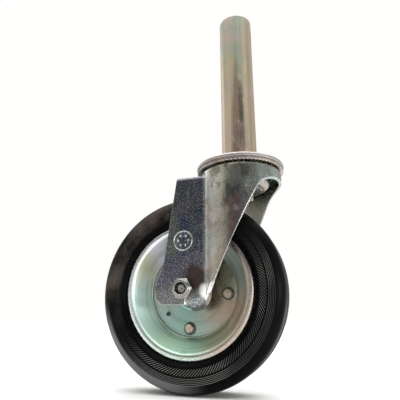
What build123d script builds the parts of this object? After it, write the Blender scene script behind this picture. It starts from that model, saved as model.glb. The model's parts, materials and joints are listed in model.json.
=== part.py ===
from build123d import *

import math
import os

# Swivel castor with a plain tube stem, as fitted to the foot of a gate leg.
# Origin: on the swivel axis, at the top plate's upper face, where the stem starts.
# +Z runs up the stem, +X points away from the axle, and the axle runs along Y. All in mm.

# Driving dimensions
WHEEL_DIA = 200.0
TYRE_WIDTH = 50.0
SWIVEL_OFFSET = 55.0
PLATE_TO_FLOOR = 236.0
STEM_DIA = 40.0
STEM_WALL = 3.0
STEM_LENGTH = 200.0
PLATE_DIA = 98.0
CROWN_DIA = 91.0
FORK_SHEET = 3.0
FORK_HALF_WIDTH = 33.0
AXLE_BOLT_DIA = 12.0

AXLE_X = -SWIVEL_OFFSET
AXLE_Z = WHEEL_DIA / 2 - PLATE_TO_FLOOR
TYRE_R = WHEEL_DIA / 2
STEM_R = STEM_DIA / 2
CROWN_R = CROWN_DIA / 2
CROWN_BORE_R = CROWN_R - FORK_SHEET
FORK_GAP_HALF = FORK_HALF_WIDTH - FORK_SHEET
RUNNING = 0.05
CUT = 1.0
CLOSE = 0.1
SHY = 0.001

# Swivel head, as heights below the top plate's upper face
PLATE_THICK = 5.0
PLATE_EDGE_TOP = 3.2
PLATE_EDGE_LOW = 0.8
WELD_LEG = 3.0
STEM_FOOT_R = STEM_R - 0.3
STEM_EDGE = 0.5
RACE_PLATE_R = 48.3
RACE_PLATE_THICK = 3.7
RACE_PLATE_EDGE = 0.9
RACE_Z = -PLATE_THICK - RACE_PLATE_THICK
CROWN_TOP_Z = -9.5
CROWN_EDGE = 3.0
CROWN_STEP_DROP = 0.45
GROOVE_BACK_THIN = 0.5
UPPER_BALL_R = 3.0
UPPER_PITCH_R = 36.0
UPPER_BALL_Z = (RACE_Z + CROWN_TOP_Z) / 2
UPPER_BALL_COUNT = 35
LOWER_BALL_R = 4.0
LOWER_PITCH_R = 26.0
LOWER_BALL_Z = -20.0
LOWER_BALL_COUNT = 20
CROWN_HOLE_R = 18.0
CROWN_STEP_R = 28.0
CROWN_NECK_Z = -22.4
NECK_EDGE = 1.0
CUP_WALL = 2.6
CUP_RIM_Z = -17.2
CUP_EDGE = 1.0
CUP_FLOOR_Z = LOWER_BALL_Z - LOWER_BALL_R - RUNNING
CUP_UNDER_Z = CUP_FLOOR_Z - CUP_WALL

# King bolt and what it clamps
KING_R = 8.0
KING_FIT = 0.1
KING_HEAD_AF = 24.0
KING_HEAD_HEIGHT = 10.0
KING_NUT_HEIGHT = 8.0
KING_END_Z = -42.0
KING_END_BEVEL = 1.2
SLEEVE_R = 13.5
KING_WASHER_R = 24.0
KING_WASHER_THICK = 2.5
KING_WASHER_EDGE = 0.6
LOCK_WASHER_R = 13.0
LOCK_WASHER_THICK = 3.0
KING_WASHER_Z = CUP_UNDER_Z - KING_WASHER_THICK
LOCK_WASHER_Z = KING_WASHER_Z - LOCK_WASHER_THICK
KING_NUT_Z = LOCK_WASHER_Z - KING_NUT_HEIGHT

# Fork
DECK_Z = -16.0
DECK_REAR_X = -63.3
DECK_EDGE = 4.5
DECK_COVE_R = 5.0
LEG_BEND_R = 12.0
LEG_BOTTOM_Z = -151.5
ARCH_Z = -22.0
ARCH_R = 26.0
FRONT_SLOPE = 2.05
FRONT_LINE_X = 31.6
TOE_R = 27.4
HEEL_X = -86.0
HEEL_R = 10.0
WAIST = (-77.5, -112.0)
WAIST_R = 22.0
FLARE = (-85.5, -131.0)
FLARE_R = 14.0
LIP_OUTER = ((-47.3, -133.0), 18.9)
LIP_INNER = ((-45.5, -140.0), 17.8)
LIP_DEPTH = 8.0
LIP_BEND = 6.0
LIP_BEND_DEPTH = 4.0
LIP_INNER_BEND = 0.8
LIP_BEND_STEPS = 5
LIP_TOP_POINT = (-31.3, -134.4)
LIP_TOP_SLOPE = 0.486
LIP_START_X = -54.0
RAMP_RISE = 4.5
RAMP_LENGTH = 10.0
AXLE_HOLE_R = 6.1
STAMP_X = -56.0
STAMP_Z = -87.0
STAMP_R = 10.4
STAMP_LINE = 0.7
STAMP_DEPTH = 0.35
STAMP_DOTS = 6
STAMP_DOT_R = 0.8
STAMP_DOT_RING_R = 5.6

# Axle
AXLE_TUBE_R = 10.0
BOLT_R = AXLE_BOLT_DIA / 2 - RUNNING
BOLT_AF = 19.0
BOLT_HEAD_HEIGHT = 7.5
BOLT_WASHER_R = 12.0
BOLT_WASHER_THICK = 2.0
NUT_HEX_HEIGHT = 7.2
NUT_HEIGHT = 10.4
NUT_COLLAR_R = 8.8
NUT_COLLAR_ROUND = 1.6
NUT_MOUTH_R = 6.2
BOLT_END_Y = -40.4
BOLT_END_BEVEL = 2.4
BOLT_CENTRE_R = 1.3
BOLT_CENTRE_DEPTH = 3.0
INSERT_R = 7.2
INSERT_START_Y = -39.8
INSERT_END_Y = -42.4
THRUST_WASHER_THICK = 0.9
THRUST_WASHER_R = 12.2

# Wheel
HUB_R = 15.5
HUB_BORE_R = 13.5
HUB_HALF = 28.8
DISC_SHEET = 2.0
DISC_FLAT_R = 46.5
DISC_STEP = 0.9
COLLAR_HEIGHT = 10.0
FLANGE_Y = 21.5
FLANGE_INNER_R = 62.5
FLANGE_R = 70.0
FLANGE_SKIRT = 3.6
FLANGE_RISE = 3.0
BEAD_GAP = 0.1
BEAD_STEP = 0.6
BEAD_DEPTH = 2.4
GROOVE_DEPTH = 1.6
SKIRT_SPACE = 0.2
CHANNEL_SPACE = 1.4
SHOULDER_R = 14.0
GROOVE_R = 73.6
RIVET_COUNT = 4
RIVET_RING_R = 38.5
RIVET_R = 2.6
RIVET_BASE_R = 5.6
RIVET_BASE_HEIGHT = 0.8
RIVET_HEAD_R = 4.4
RIVET_HEAD_HEIGHT = 4.6
RIVET_EDGE = 0.5
RIVET_START = -5.0
VENT_COUNT = 2
VENT_RING_R = 36.5
VENT_R = 2.5
NEAR_VENT_START = 40.0
FAR_VENT_START = 130.0

# Roller bearing in the hub
ROLLER_R = 1.7
ROLLER_PITCH_R = (AXLE_TUBE_R + HUB_BORE_R) / 2
ROLLER_HALF = 22.0
ROLLER_COUNT = 12
CAGE_INNER_R = 10.6
CAGE_OUTER_R = 12.9
CAGE_HALF = 25.0
CAP_INNER_R = 10.4
CAP_INNER_Y = 25.6

WHEEL_CENTRE = Location((AXLE_X, 0, AXLE_Z))


def turned_z(outline, radii=0.0):
    """A ring turned about Z from (radius, z) points."""
    points = [(r, 0, z) for r, z in outline]
    return revolve(closed_face(points, radii), Axis.Z)


def turned_y(outline, radii=0.0):
    """A ring turned about the wheel's axis from (radius, y) points."""
    points = [(r, y, 0) for r, y in outline]
    return WHEEL_CENTRE * revolve(closed_face(points, radii), Axis.Y)


def split_corners(outline):
    """Splits (radius, y, corner radius) points into the outline and its corner radii."""
    return [(r, y) for r, y, corner in outline], [corner for r, y, corner in outline]


def closed_face(points, radii):
    """A flat face through the points, with its corners rounded where radii says so."""
    if radii == 0.0:
        return make_face(Polyline(*points, close=True))
    return make_face(FilletPolyline(*points, radius=radii, close=True))


def tube_z(outer_r, inner_r, low, high):
    return turned_z([(inner_r, low), (outer_r, low), (outer_r, high), (inner_r, high)])


def tube_y(outer_r, inner_r, low, high):
    return turned_y([(inner_r, low), (outer_r, low), (outer_r, high), (inner_r, high)])


def rod_z(radius, low, high):
    return Pos(0, 0, (low + high) / 2) * Cylinder(radius, high - low)


def rod_y(radius, low, high, x=AXLE_X, z=AXLE_Z):
    return Pos(x, (low + high) / 2, z) * Rot(90, 0, 0) * Cylinder(radius, high - low)


def hexagon_prism(across_flats, height):
    """A hexagon bar end about Z with both ends' corners turned off, centred on the origin."""
    corner_r = across_flats / math.sqrt(3)
    bar = extrude(RegularPolygon(corner_r, 6), height / 2, both=True)
    bevel = (corner_r - across_flats / 2) / math.sqrt(3)
    face_r = across_flats / 2
    turned = turned_z(
        [(0, -height / 2), (face_r, -height / 2), (corner_r, bevel - height / 2),
         (corner_r, height / 2 - bevel), (face_r, height / 2), (0, height / 2)]
    )
    return bar & turned


def mirrored_y(shape):
    return mirror(shape, Plane.XZ)


# Swivel head


def stem_tube():
    """Plain round tube that goes up into the gate's leg; its turned foot stands in the plate's groove."""
    tube = tube_z(STEM_R, STEM_R - STEM_WALL, 0, STEM_LENGTH)
    tube = chamfer(tube.edges().group_by(Axis.Z)[-1], STEM_EDGE)
    return tube + tube_z(STEM_FOOT_R, STEM_R - STEM_WALL, -WELD_LEG, CUT)


def stem_weld():
    """Weld run round the foot of the stem, ground flush with the plate."""
    return turned_z([(STEM_FOOT_R, 0), (STEM_R + WELD_LEG, 0), (STEM_FOOT_R, -WELD_LEG)])


def top_plate():
    plate_r = PLATE_DIA / 2
    bore = KING_R + KING_FIT
    plate = turned_z(
        [(bore, 0), (plate_r, 0), (plate_r, -PLATE_THICK), (bore, -PLATE_THICK)],
        [0, PLATE_EDGE_TOP, PLATE_EDGE_LOW, 0],
    )
    foot = tube_z(STEM_FOOT_R, STEM_R - STEM_WALL, -WELD_LEG, CUT)
    bevel = turned_z(
        [(STEM_R - CUT, 0), (STEM_R + WELD_LEG, 0), (STEM_FOOT_R, -WELD_LEG), (STEM_R - CUT, -WELD_LEG)]
    )
    return plate - foot - bevel


def upper_race_plate():
    """Hardened ring under the top plate with the upper ball groove in its lower face."""
    bore = KING_R + KING_FIT
    ring = turned_z(
        [(bore, -PLATE_THICK), (RACE_PLATE_R, -PLATE_THICK), (RACE_PLATE_R, RACE_Z), (bore, RACE_Z)],
        [0, RACE_PLATE_EDGE, RACE_PLATE_EDGE, 0],
    )
    return ring - upper_groove()


def upper_groove():
    return Pos(0, 0, UPPER_BALL_Z) * Torus(UPPER_PITCH_R, UPPER_BALL_R + RUNNING)


def ring_of_balls(ball_r, pitch_r, height, count):
    return [
        Pos(pitch_r * math.cos(turn), pitch_r * math.sin(turn), height) * Sphere(ball_r)
        for turn in (2 * math.pi * k / count for k in range(count))
    ]


def lower_race_cup():
    """Pressed bowl that carries the lower balls in its rounded inner corner."""
    inner_r = LOWER_BALL_R + RUNNING
    outer_r = inner_r + CUP_WALL
    wall_x = LOWER_PITCH_R + inner_r
    bore = KING_R + KING_FIT
    return turned_z(
        [(bore, CUP_FLOOR_Z), (wall_x, CUP_FLOOR_Z), (wall_x, CUP_RIM_Z), (wall_x + CUP_WALL, CUP_RIM_Z),
         (wall_x + CUP_WALL, CUP_UNDER_Z), (bore, CUP_UNDER_Z)],
        [0, inner_r - SHY, CUP_EDGE, CUP_EDGE, outer_r - SHY, 0],
    )


def king_bolt():
    """Hexagon bolt down the swivel axis; its head sits inside the stem."""
    head = Pos(0, 0, KING_HEAD_HEIGHT / 2) * hexagon_prism(KING_HEAD_AF, KING_HEAD_HEIGHT)
    shank = rod_z(KING_R, KING_END_Z, CUT)
    end_edge = shank.edges().group_by(Axis.Z)[0]
    return head + chamfer(end_edge, KING_END_BEVEL)


def king_sleeve():
    return tube_z(SLEEVE_R, KING_R + KING_FIT, CUP_FLOOR_Z, RACE_Z)


def king_washer():
    ring = tube_z(KING_WASHER_R, KING_R + KING_FIT, KING_WASHER_Z, CUP_UNDER_Z)
    rim = ring.edges().filter_by(GeomType.CIRCLE).sort_by(SortBy.RADIUS)[-2:]
    return fillet(rim, KING_WASHER_EDGE)


def lock_washer():
    return tube_z(LOCK_WASHER_R, KING_R + KING_FIT, LOCK_WASHER_Z, KING_WASHER_Z)


def king_nut():
    middle = (KING_NUT_Z + LOCK_WASHER_Z) / 2
    nut = Pos(0, 0, middle) * hexagon_prism(KING_HEAD_AF, KING_NUT_HEIGHT)
    return nut - rod_z(KING_R + RUNNING, KING_NUT_Z - CUT, LOCK_WASHER_Z + CUT)


# Fork


def plan(disc_r, half_width, bend_r):
    """Plan of the fork: the crown's disc run into the parallel legs behind it."""
    length = -HEEL_X + 2 * CUT
    legs = Pos(-length / 2, 0) * Rectangle(length, 2 * half_width)
    joined = Circle(disc_r) + legs
    meet_x = -math.sqrt(disc_r**2 - half_width**2)
    corners = [
        v for v in joined.vertices() if abs(v.X - meet_x) < CLOSE and abs(v.Y) > CUT
    ]
    return fillet(corners, bend_r)


def side_outline():
    """Side view of the fork: crown, front arch, leg and heel."""
    toe_x = FRONT_LINE_X + (LEG_BOTTOM_Z - ARCH_Z) / FRONT_SLOPE
    above = CROWN_TOP_Z + CUT
    front = CROWN_R + 5 * CUT
    points = [
        (DECK_REAR_X, above), (front, above), (front, ARCH_Z), (FRONT_LINE_X, ARCH_Z),
        (toe_x, LEG_BOTTOM_Z), (HEEL_X, LEG_BOTTOM_Z), FLARE, WAIST,
    ]
    radii = [0, 0, 0, ARCH_R, TOE_R, HEEL_R, FLARE_R, WAIST_R]
    face = closed_face([(x, 0, z) for x, z in points], radii)
    return extrude(face, FORK_HALF_WIDTH + CROWN_R, both=True, dir=(0, 1, 0))


def fork_outside():
    """The fork's outer skin: legs and deck, with the crown's drum rising from them on a cove."""
    prism = Pos(0, 0, LEG_BOTTOM_Z - CUT) * extrude(
        plan(CROWN_R, FORK_HALF_WIDTH, LEG_BEND_R), DECK_Z - LEG_BOTTOM_Z + CUT
    )
    long_edges = [
        e for e in prism.edges().group_by(Axis.Z)[-1]
        if e.geom_type == GeomType.LINE and abs(e.center().Y) > CUT
    ]
    prism = fillet(long_edges, DECK_EDGE)
    drum = rod_z(CROWN_R, DECK_Z - DECK_EDGE * 2, CROWN_TOP_Z)
    drum = fillet(drum.edges().group_by(Axis.Z)[-1], CROWN_EDGE)
    body = prism + drum
    foot_of_crown = [
        e for e in body.edges()
        if e.geom_type == GeomType.CIRCLE and abs(e.center().Z - DECK_Z) < CLOSE and e.length > CROWN_R
    ]
    return fillet(foot_of_crown, DECK_COVE_R)


def fork_inside():
    prism = Pos(0, 0, LEG_BOTTOM_Z - 2 * CUT) * extrude(
        plan(CROWN_BORE_R, FORK_GAP_HALF, LEG_BEND_R + FORK_SHEET),
        DECK_Z - FORK_SHEET - LEG_BOTTOM_Z + 2 * CUT,
    )
    drum = rod_z(CROWN_BORE_R, DECK_Z - DECK_EDGE * 2, CROWN_TOP_Z - FORK_SHEET)
    return prism + drum


def crown_neck():
    """Pressed step and neck in the crown's middle, with the lower balls' rounded corner."""
    step_top = CROWN_TOP_Z - FORK_SHEET - CROWN_STEP_DROP
    corner_r = LOWER_BALL_R + RUNNING
    ledge_z = LOWER_BALL_Z + corner_r
    neck_r = LOWER_PITCH_R - corner_r
    outer_r = CROWN_STEP_R + FORK_SHEET
    return turned_z(
        [(CROWN_HOLE_R, step_top), (CROWN_STEP_R, step_top), (CROWN_STEP_R, CROWN_TOP_Z),
         (outer_r, CROWN_TOP_Z), (outer_r, ledge_z), (neck_r, ledge_z),
         (neck_r, CROWN_NECK_Z), (CROWN_HOLE_R, CROWN_NECK_Z)],
        [0, 0, 0, 0, NECK_EDGE, corner_r, 0, 0],
    )


def crown_groove_back():
    """The upper ball groove's pressed-out back, below the crown's sheet."""
    back_r = UPPER_BALL_R + RUNNING + FORK_SHEET - GROOVE_BACK_THIN
    back = Pos(0, 0, UPPER_BALL_Z) * Torus(UPPER_PITCH_R, back_r)
    return back & rod_z(CROWN_R, DECK_Z, CROWN_TOP_Z - FORK_SHEET / 2)


def toe_plane():
    """Plane across the toe: its X runs down from the crease, its Y is the row's Y."""
    along = Vector(1, 0, LIP_TOP_SLOPE).normalized()
    down = Vector(along.Z, 0, -along.X)
    return Plane(origin=(LIP_TOP_POINT[0], 0, LIP_TOP_POINT[1]), x_dir=down, z_dir=along)


def toe_prism(points, reach=40.0):
    """A prism along the crease from (distance below it, y) points."""
    return extrude(toe_plane() * make_face(Polyline(*points, close=True)), reach, both=True)


def toe_ramp():
    """Cuts back what bulges past the leg's flat below the crease, on a slope."""
    flat = -FORK_HALF_WIDTH
    reach = 4 * RAMP_LENGTH
    return toe_prism(
        [(0, flat - RAMP_RISE), (RAMP_LENGTH, flat), (reach, flat), (reach, -CROWN_R - CUT),
         (0, -CROWN_R - CUT)]
    )


def toe_cup(wall, bend, bend_depth, overrun):
    """Solid bounded by the toe's skin: a disc on the leg's flat that bends over into a tapered rim."""
    flat = -FORK_HALF_WIDTH + wall
    (outer_c, outer_r), (inner_c, inner_r) = LIP_OUTER, LIP_INNER

    def rim(depth):
        share = depth / LIP_DEPTH
        centre = [a + share * (b - a) for a, b in zip(outer_c, inner_c)]
        return *centre, outer_r + share * (inner_r - outer_r) - wall, -FORK_HALF_WIDTH + depth

    start = (*outer_c, outer_r - wall - bend, flat)
    corner = (*outer_c, outer_r - wall, flat)
    end = rim(wall + bend_depth)
    rings = []
    for k in range(LIP_BEND_STEPS + 1):
        t = k / LIP_BEND_STEPS
        weights = ((1 - t) ** 2, 2 * t * (1 - t), t**2)
        rings.append([sum(w * v for w, v in zip(weights, values)) for values in zip(start, corner, end)])
    bend_solid = loft([circle_y(*ring) for ring in rings])
    return bend_solid + loft([circle_y(*rings[-1]), circle_y(*rim(LIP_DEPTH + overrun))], ruled=True)


def circle_y(x, z, radius, y):
    return Plane(origin=(x, y, z), x_dir=(1, 0, 0), z_dir=(0, 1, 0)) * Circle(radius)


def with_toe(body):
    """The near leg's lower front corner, drawn inwards into a rounded lip."""
    outer_face_y = -FORK_HALF_WIDTH
    inner_edge_y = outer_face_y + LIP_DEPTH
    reach = 4 * RAMP_LENGTH
    below = toe_prism(
        [(0, outer_face_y - CUT), (reach, outer_face_y - CUT), (reach, inner_edge_y), (0, inner_edge_y)]
    )
    low = 2 * abs(LEG_BOTTOM_Z)
    start = make_face(
        Polyline(
            (LIP_START_X, outer_face_y - CUT), (LIP_START_X, outer_face_y),
            (LIP_START_X + LIP_DEPTH, inner_edge_y), (0, inner_edge_y), (0, outer_face_y - CUT),
            close=True,
        )
    )
    zone = below & extrude(start, low, both=True)
    skin = toe_cup(0, LIP_BEND, LIP_BEND_DEPTH, 0)
    inside = toe_cup(FORK_SHEET, LIP_INNER_BEND, LIP_INNER_BEND, CUT)
    body -= toe_ramp()
    body -= zone - skin
    return body + ((skin - inside) & zone)


def stamp():
    """Shallow round stamp on the near leg: a ring with a circle of dots."""
    face_y = -FORK_HALF_WIDTH
    ring = rod_y(STAMP_R, face_y - CUT, face_y + STAMP_DEPTH, STAMP_X, STAMP_Z)
    ring -= rod_y(STAMP_R - STAMP_LINE, face_y - 2 * CUT, face_y + CUT, STAMP_X, STAMP_Z)
    cuts = [ring]
    for k in range(STAMP_DOTS):
        turn = 2 * math.pi * k / STAMP_DOTS
        x = STAMP_X + STAMP_DOT_RING_R * math.cos(turn)
        z = STAMP_Z + STAMP_DOT_RING_R * math.sin(turn)
        cuts.append(rod_y(STAMP_DOT_R, face_y - CUT, face_y + STAMP_DEPTH, x, z))
    return cuts


def fork():
    """One pressed sheet: round crown, rear deck and two legs that take the axle."""
    body = (fork_outside() - fork_inside()) & side_outline()
    body -= rod_z(CROWN_STEP_R, DECK_Z + CUT, CROWN_TOP_Z + CUT)
    body += crown_groove_back()
    body += crown_neck()
    body -= upper_groove()
    body = with_toe(body)
    body = mirrored_y(with_toe(mirrored_y(body)))
    body -= rod_y(AXLE_HOLE_R, -FORK_HALF_WIDTH - CUT, FORK_HALF_WIDTH + CUT)
    for cut in stamp():
        body -= cut
    return body


# Axle


def axle_tube():
    """Spacer tube between the legs; the rollers run on its outside."""
    return tube_y(AXLE_TUBE_R, AXLE_HOLE_R, -FORK_GAP_HALF, FORK_GAP_HALF)


def thrust_washers():
    ring = tube_y(
        THRUST_WASHER_R, AXLE_TUBE_R + RUNNING,
        FORK_GAP_HALF - THRUST_WASHER_THICK, FORK_GAP_HALF,
    )
    return [ring, mirrored_y(ring)]


def bolt_washer():
    return tube_y(
        BOLT_WASHER_R, AXLE_HOLE_R, FORK_HALF_WIDTH, FORK_HALF_WIDTH + BOLT_WASHER_THICK
    )


def on_axle(shape, y):
    """Turns a shape about Z into one about the axle, with a corner towards +X."""
    return Pos(AXLE_X, y, AXLE_Z) * Rot(90, 0, 0) * shape


def axle_bolt():
    seat_y = FORK_HALF_WIDTH + BOLT_WASHER_THICK
    head = on_axle(hexagon_prism(BOLT_AF, BOLT_HEAD_HEIGHT), seat_y + BOLT_HEAD_HEIGHT / 2)
    shank = rod_y(BOLT_R, BOLT_END_Y, seat_y + CUT)
    shank = chamfer(shank.edges().group_by(Axis.Y)[0], BOLT_END_BEVEL)
    centre = rod_y(BOLT_CENTRE_R, BOLT_END_Y - CUT, BOLT_END_Y + BOLT_CENTRE_DEPTH)
    return head + shank - centre


def axle_nut():
    """Lock nut: a hexagon with a round collar that is turned in over the locking ring."""
    seat_y = -FORK_HALF_WIDTH
    end_y = seat_y - NUT_HEIGHT
    nut = on_axle(hexagon_prism(BOLT_AF, NUT_HEX_HEIGHT), seat_y - NUT_HEX_HEIGHT / 2)
    nut += turned_y(
        [(0, seat_y - CUT), (NUT_COLLAR_R, seat_y - CUT), (NUT_COLLAR_R, end_y), (0, end_y)],
        [0, 0, NUT_COLLAR_ROUND, 0],
    )
    nut -= rod_y(AXLE_BOLT_DIA / 2, INSERT_START_Y - CUT, 0)
    nut -= rod_y(INSERT_R, INSERT_END_Y, INSERT_START_Y)
    return nut - rod_y(NUT_MOUTH_R, end_y - CUT, INSERT_END_Y + CUT)


def nut_insert():
    return tube_y(INSERT_R, BOLT_R, INSERT_END_Y, INSERT_START_Y)


# Wheel


def pressed_disc(vent_start):
    """The near pressed disc: collar, flat middle, dish and flange, 2 mm sheet all through."""
    sheet = DISC_SHEET
    dish_top_y = FLANGE_RISE - FLANGE_Y
    skirt_y = FLANGE_SKIRT - FLANGE_Y
    face = [
        (HUB_R + sheet, -COLLAR_HEIGHT, 0), (HUB_R + sheet, -sheet, 2.5), (DISC_FLAT_R, -sheet, 0),
        (DISC_FLAT_R, -sheet - DISC_STEP, 0.2), (DISC_FLAT_R + 1.2, -sheet - DISC_STEP, 0.8),
        (DISC_FLAT_R + 2.6, -5.0, 1.2), (FLANGE_INNER_R - 2.2, dish_top_y, 4.0),
        (FLANGE_INNER_R, -FLANGE_Y, 5.5), (FLANGE_R, -FLANGE_Y, 3.4), (FLANGE_R, skirt_y, 0),
    ]
    back = [
        (FLANGE_R - sheet, skirt_y, 0), (FLANGE_R - sheet, sheet - FLANGE_Y, 1.4),
        (FLANGE_INNER_R + 1.4, sheet - FLANGE_Y, 2.0), (FLANGE_INNER_R - 0.5, dish_top_y, 2.5),
        (DISC_FLAT_R + 4.1, -4.2, 3.0), (DISC_FLAT_R + 1.6, 0, 1.5), (HUB_R, 0, 0),
        (HUB_R, -COLLAR_HEIGHT, 0),
    ]
    disc = turned_y(*split_corners(face + back))
    for k in range(RIVET_COUNT):
        disc -= ring_hole(RIVET_R, RIVET_RING_R, RIVET_START + k * 360 / RIVET_COUNT)
    for k in range(VENT_COUNT):
        disc -= ring_hole(VENT_R, VENT_RING_R, vent_start + k * 360 / VENT_COUNT)
    return disc


def ring_place(ring_r, angle):
    turn = math.radians(angle)
    return AXLE_X + ring_r * math.cos(turn), AXLE_Z + ring_r * math.sin(turn)


def ring_hole(hole_r, ring_r, angle):
    x, z = ring_place(ring_r, angle)
    return rod_y(hole_r, -COLLAR_HEIGHT, COLLAR_HEIGHT, x, z)


def rim_rivets():
    """Four rivets through both discs, each with a stepped round head at either end."""
    base_y = DISC_SHEET + RIVET_BASE_HEIGHT
    end_y = DISC_SHEET + RIVET_HEAD_HEIGHT
    half = [
        (0, 0), (RIVET_R, 0), (RIVET_R, DISC_SHEET), (RIVET_BASE_R, DISC_SHEET), (RIVET_BASE_R, base_y),
        (RIVET_HEAD_R, base_y), (RIVET_HEAD_R, end_y), (0, end_y),
    ]
    outline = [(r, 0, y) for r, y in half]
    end = revolve(closed_face(outline, [0, 0, 0, 0, RIVET_EDGE, 0, RIVET_EDGE, 0]), Axis.Z)
    rivet = Rot(90, 0, 0) * (end + mirror(end, Plane.XY))
    rivets = []
    for k in range(RIVET_COUNT):
        x, z = ring_place(RIVET_RING_R, RIVET_START + k * 360 / RIVET_COUNT)
        rivets.append(Pos(x, 0, z) * rivet)
    return rivets


def hub_tube():
    return tube_y(HUB_R, HUB_BORE_R, -HUB_HALF, HUB_HALF)


def tyre():
    """Solid rubber ring: its foot fills the channel between the two dished discs."""
    half = TYRE_WIDTH / 2
    bead_r = FLANGE_R + BEAD_STEP
    skirt_r = FLANGE_R - DISC_SHEET - BEAD_GAP
    skirt_y = FLANGE_SKIRT + SKIRT_SPACE + BEAD_GAP - FLANGE_Y
    channel_y = DISC_SHEET + BEAD_GAP + CHANNEL_SPACE - FLANGE_Y
    side = [
        (TYRE_R, -half, SHOULDER_R), (GROOVE_R + BEAD_STEP, -half, 0.5),
        (GROOVE_R, GROOVE_DEPTH - half, 0.5), (bead_r, BEAD_DEPTH - half, 0.5), (bead_r, skirt_y, 0),
        (skirt_r, skirt_y, 0), (skirt_r, channel_y, 0), (FLANGE_INNER_R + 1.8, channel_y, 1.0),
        (DISC_FLAT_R + 5.0, -4.0, 0.5), (DISC_FLAT_R + 4.2, -2.6, 0.5),
    ]
    other = [(r, -y, corner) for r, y, corner in reversed(side)]
    return turned_y(*split_corners(side + other))


def bearing_caps():
    cap = tube_y(HUB_BORE_R, CAP_INNER_R, CAP_INNER_Y, HUB_HALF)
    return [cap, mirrored_y(cap)]


def roller_places():
    for k in range(ROLLER_COUNT):
        yield ring_place(ROLLER_PITCH_R, k * 360 / ROLLER_COUNT)


def rollers():
    return [rod_y(ROLLER_R, -ROLLER_HALF, ROLLER_HALF, x, z) for x, z in roller_places()]


def roller_cage():
    cage = tube_y(CAGE_OUTER_R, CAGE_INNER_R, -CAGE_HALF, CAGE_HALF)
    for x, z in roller_places():
        cage -= rod_y(ROLLER_R + 2 * RUNNING, -ROLLER_HALF - CUT / 4, ROLLER_HALF + CUT / 4, x, z)
    return cage


NODES = {
    "stem_tube": stem_tube,
    "stem_weld": stem_weld,
    "top_plate": top_plate,
    "upper_race_plate": upper_race_plate,
    "upper_balls": lambda: ring_of_balls(
        UPPER_BALL_R, UPPER_PITCH_R, UPPER_BALL_Z, UPPER_BALL_COUNT
    ),
    "lower_balls": lambda: ring_of_balls(
        LOWER_BALL_R, LOWER_PITCH_R, LOWER_BALL_Z, LOWER_BALL_COUNT
    ),
    "lower_race_cup": lower_race_cup,
    "king_bolt": king_bolt,
    "king_sleeve": king_sleeve,
    "king_washer": king_washer,
    "lock_washer": lock_washer,
    "king_nut": king_nut,
    "fork": fork,
    "axle_tube": axle_tube,
    "thrust_washers": thrust_washers,
    "axle_bolt": axle_bolt,
    "bolt_washer": bolt_washer,
    "axle_nut": axle_nut,
    "nut_insert": nut_insert,
    "near_rim": lambda: pressed_disc(NEAR_VENT_START),
    "far_rim": lambda: mirrored_y(pressed_disc(FAR_VENT_START)),
    "rim_rivets": rim_rivets,
    "hub_tube": hub_tube,
    "tyre": tyre,
    "bearing_caps": bearing_caps,
    "rollers": rollers,
    "roller_cage": roller_cage,
}

os.makedirs("parts", exist_ok=True)
for name, make in NODES.items():
    shape = make()
    if isinstance(shape, list):
        shape = Compound(children=shape)
    export_step(shape, f"parts/{name}.step")
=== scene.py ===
import json
import math

import bpy
import numpy as np
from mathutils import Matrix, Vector


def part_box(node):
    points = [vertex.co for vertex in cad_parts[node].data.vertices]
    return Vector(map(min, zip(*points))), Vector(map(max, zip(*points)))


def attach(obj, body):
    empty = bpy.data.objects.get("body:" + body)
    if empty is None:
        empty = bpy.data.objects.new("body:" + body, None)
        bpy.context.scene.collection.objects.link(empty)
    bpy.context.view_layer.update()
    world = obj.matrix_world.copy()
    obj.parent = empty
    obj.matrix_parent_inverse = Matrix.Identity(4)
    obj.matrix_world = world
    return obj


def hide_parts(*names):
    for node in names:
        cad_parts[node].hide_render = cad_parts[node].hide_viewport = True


# Swivel castor with a tube stem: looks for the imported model. Lengths are in metres, in the row frame, unless
# a comment says otherwise.
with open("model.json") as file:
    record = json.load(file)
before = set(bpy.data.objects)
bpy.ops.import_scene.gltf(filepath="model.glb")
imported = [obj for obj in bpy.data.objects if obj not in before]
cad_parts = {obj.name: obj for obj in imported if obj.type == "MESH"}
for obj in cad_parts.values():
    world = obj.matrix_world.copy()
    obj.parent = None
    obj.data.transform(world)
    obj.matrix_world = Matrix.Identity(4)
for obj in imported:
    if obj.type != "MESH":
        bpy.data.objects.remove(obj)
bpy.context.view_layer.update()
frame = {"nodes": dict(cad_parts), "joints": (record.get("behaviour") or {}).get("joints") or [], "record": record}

MM = 0.001
NODES = frame["nodes"]
JOINTS = {joint["name"]: joint for joint in frame["joints"]}
AXLE = Vector(JOINTS["wheel_spin"]["pos_m"])
TYRE_LOW, TYRE_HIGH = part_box("tyre")
TYRE_R = (TYRE_HIGH.x - TYRE_LOW.x) / 2
TYRE_HALF = (TYRE_HIGH.y - TYRE_LOW.y) / 2

# Fork: the near leg's outer face, and the line where its flat bends into the rounded front
LEG_Y = -33 * MM
BEND_X = -33 * MM

# Discs and rivets: the first rivet is RIVET_START degrees from +X, counted towards +Z
DISC_FLAT_R = 46.5 * MM
FLANGE_INNER_R = 62.5 * MM
RIVET_COUNT = 4
RIVET_START = -5.0
RIVET_RING_R = 38.5 * MM
RIVET_HEAD_R = 4.4 * MM
RIVET_SHADE_R = 6.1 * MM

# Tyre: slanted ribs, the rings outside them, and the tread's fine hatch. RIB_SLANT is sideways over outward,
# and the hatch's phase grows by a radian in every HATCH_RADIAN across the tread.
RIB_COUNT = 164
RIB_SLANT = 1.1
RIB_RING_R = 78.7 * MM
RIB_DEPTH = 1.15 * MM
RING_START_R = 84.0 * MM
RING_MIDDLE_R = 87.0 * MM
RING_PITCH = 1.5 * MM
HATCH_RADIAN = 0.55 * MM
HATCH_DEPTH = 0.6 * MM
STEPS_PER_RIB = 8


# Node helpers


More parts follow.
